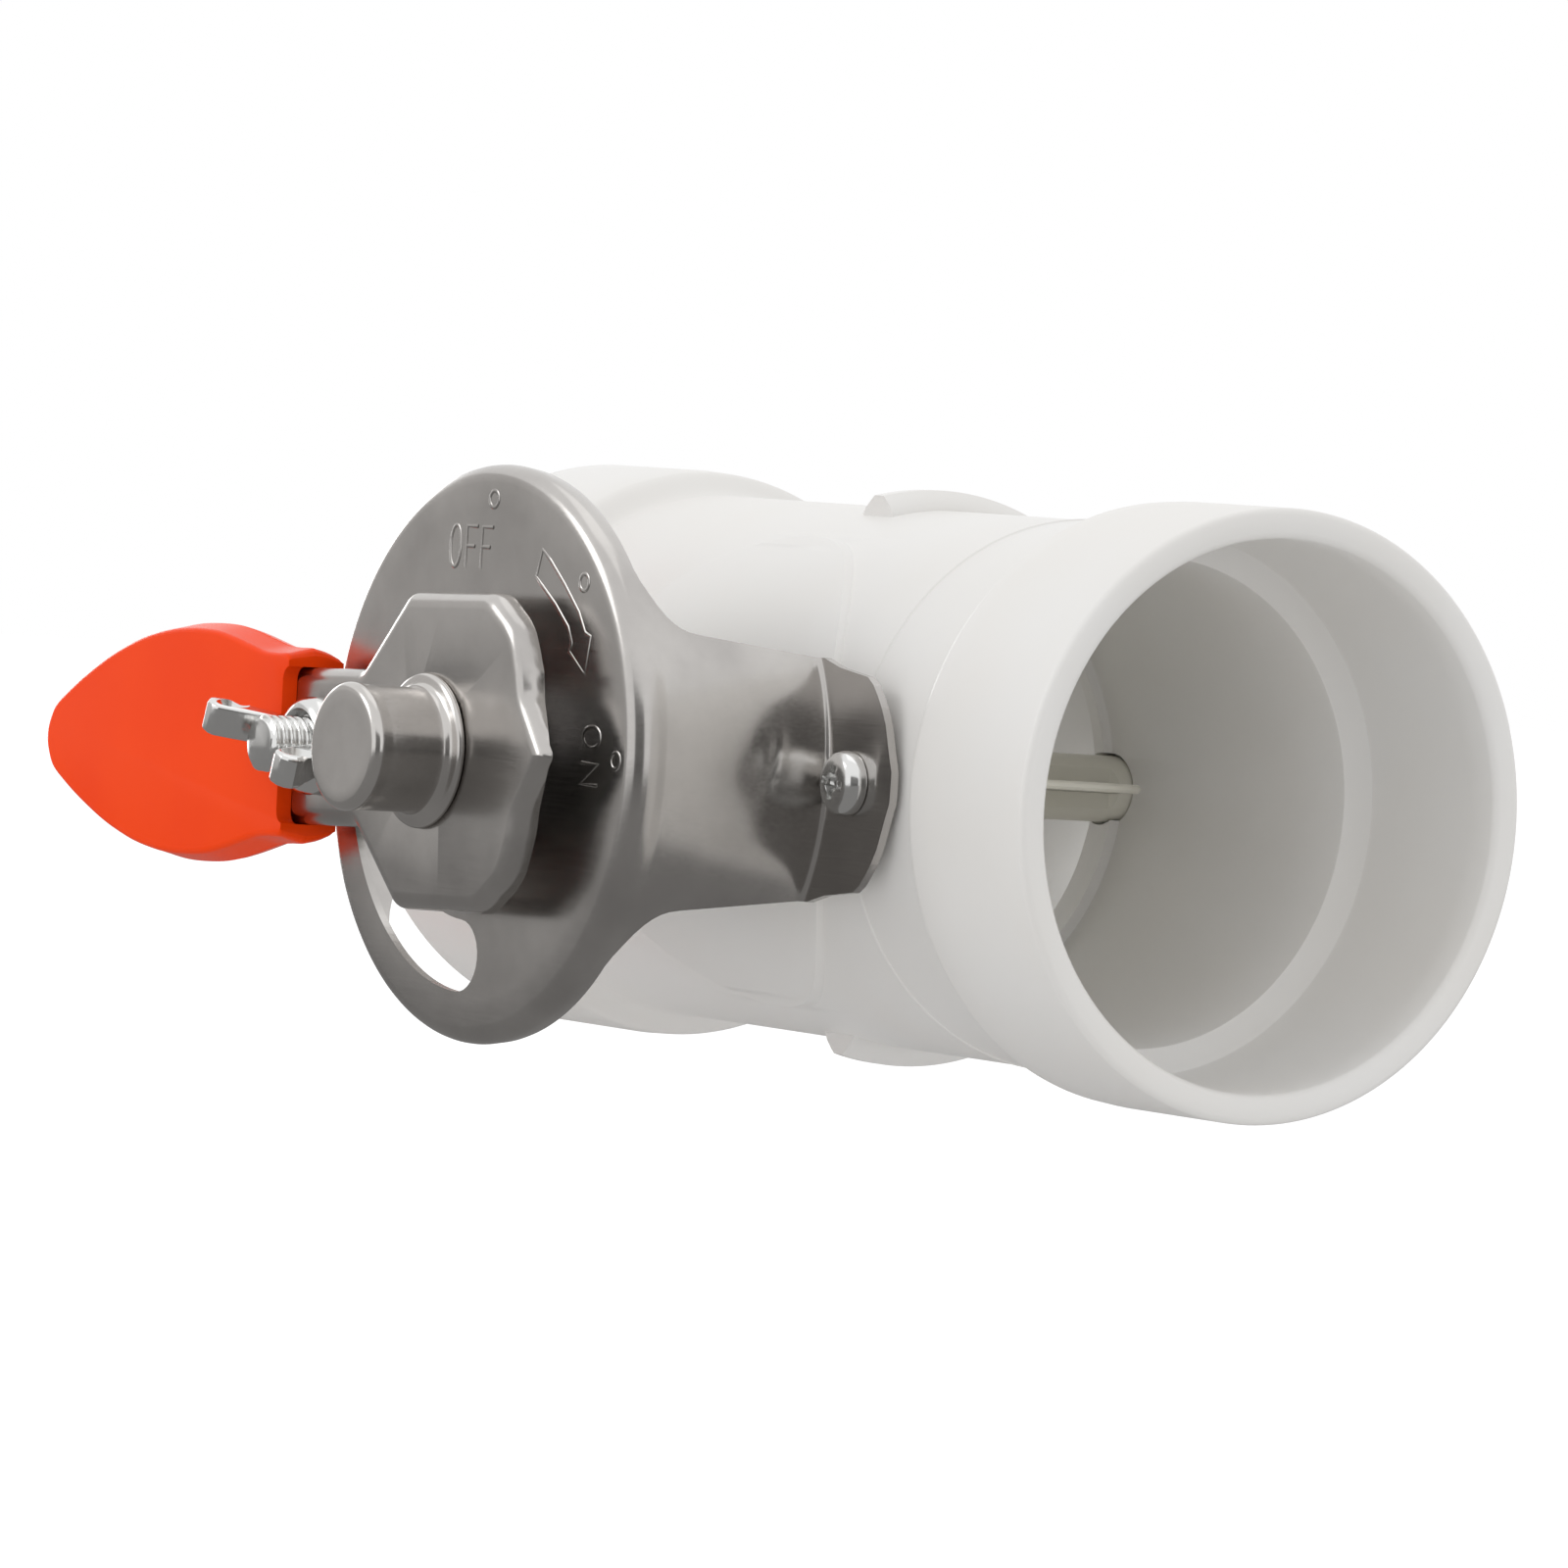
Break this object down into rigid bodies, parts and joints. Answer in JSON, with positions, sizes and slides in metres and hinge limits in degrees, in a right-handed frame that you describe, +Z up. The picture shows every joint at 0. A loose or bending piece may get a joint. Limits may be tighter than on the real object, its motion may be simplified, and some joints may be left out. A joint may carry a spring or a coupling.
{
  "type": "manual duct damper",
  "caption": "Butterfly damper for a plastic pipe line: round blade on a cross shaft, turned by an indicator handle over a stamped dial and locked by a wing nut.",
  "frame": {"origin": "on the duct axis, in the middle of the front socket's bore", "axes": "+X along the duct, out of the front socket; Y along the blade's shaft, with the dial on the -Y side; +Z up, to the dial's OFF mark"},
  "size_m": [0.1874, 0.141, 0.0834],
  "materials": {
    "white_pvc": "satin moulded PVC",
    "acetal": "natural acetal",
    "cream_plastic": "satin moulded plastic",
    "stainless": "bright stamped stainless sheet",
    "zinc": "zinc-plated",
    "steel": "turned steel",
    "spring_steel": "oiled spring steel",
    "black_rubber": "matt",
    "orange_plastic": "satin moulded plastic"
  },
  "bodies": {
    "duct": {"duct_body": "white_pvc", "near_bush": "acetal", "far_cap": "white_pvc", "dial_bracket": "stainless", "front_screw": "zinc", "rear_screw": "zinc", "dial_bush": "acetal"},
    "handle": {"blade": "cream_plastic", "shaft": "cream_plastic", "blade_screw_near": "zinc", "blade_screw_far": "zinc", "near_ring": "black_rubber", "far_ring": "black_rubber", "thrust_washer": "acetal", "spindle": "steel", "spindle_pin": "spring_steel", "spring_washer": "spring_steel", "handle_plate": "stainless", "spindle_washer": "zinc", "spindle_nut": "zinc", "hub_cap": "stainless", "grip": "orange_plastic", "lock_bolt": "zinc", "slot_washer": "zinc", "lock_spacer": "zinc"},
    "washer": {"lock_washer": "zinc"},
    "wing_nut": {"wing_nut": "zinc"}
  },
  "joints": [
    {"name": "handle_turn", "type": "hinge", "parent": "duct", "child": "handle", "pos_m": [-0.07035, 0, 0], "axis": [0, -1, 0], "range_deg": [-2.1, 87.7]},
    {"name": "washer_slide", "type": "slide", "parent": "handle", "child": "washer", "axis": [0, -1, 0], "range_m": [0, 0.00125]},
    {"name": "wing_turn", "type": "hinge", "parent": "washer", "child": "wing_nut", "pos_m": [-0.09833, 0, -0.00107], "axis": [0, -1, 0], "range_deg": [0, 360]}
  ],
  "couplings": [
    {"joint": "washer_slide", "follows": "wing_turn", "m_per_rad": 0.00019894}
  ]
}
